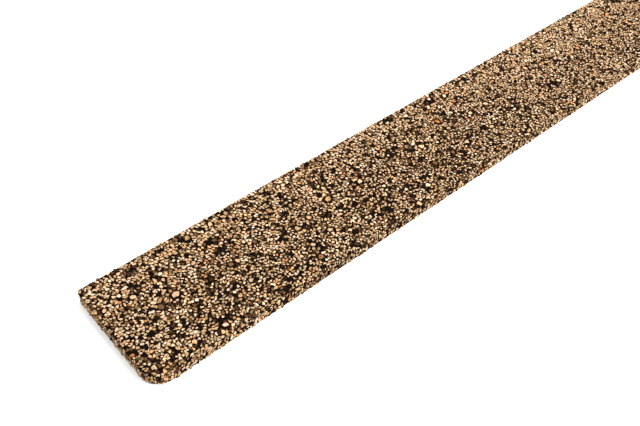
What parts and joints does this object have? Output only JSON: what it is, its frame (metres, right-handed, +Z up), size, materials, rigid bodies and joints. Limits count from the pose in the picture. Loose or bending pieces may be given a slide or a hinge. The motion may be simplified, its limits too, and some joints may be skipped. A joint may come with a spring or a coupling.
{
  "type": "cork rubber sanding strip",
  "caption": "Thin flat strip of cork granules bonded in black rubber, with a worn corner, to back abrasive sheet when sanding narrow or curved work by hand.",
  "frame": {"origin": "middle of the lower broad face, where the strip lies", "axes": "+X along the strip away from the end with the worn corner, +Y across it away from that corner, +Z up through its thickness"},
  "size_m": [0.3, 0.025, 0.0032],
  "materials": {
    "binder": "matt, slightly greasy where it is cut",
    "cork_tan": "matt, sliced cork",
    "cork_pale": "matt, sliced cork",
    "cork_rose": "matt, sliced cork",
    "cork_amber": "matt, sliced cork",
    "cork_brown": "matt, sliced cork",
    "bark": "matt, sliced bark"
  },
  "bodies": {
    "root": {"rubber_binder": "binder", "granules_tan": "cork_tan", "granules_pale": "cork_pale", "granules_rose": "cork_rose", "granules_amber": "cork_amber", "granules_brown": "cork_brown", "bark_chips": "bark"}
  },
  "joints": []
}
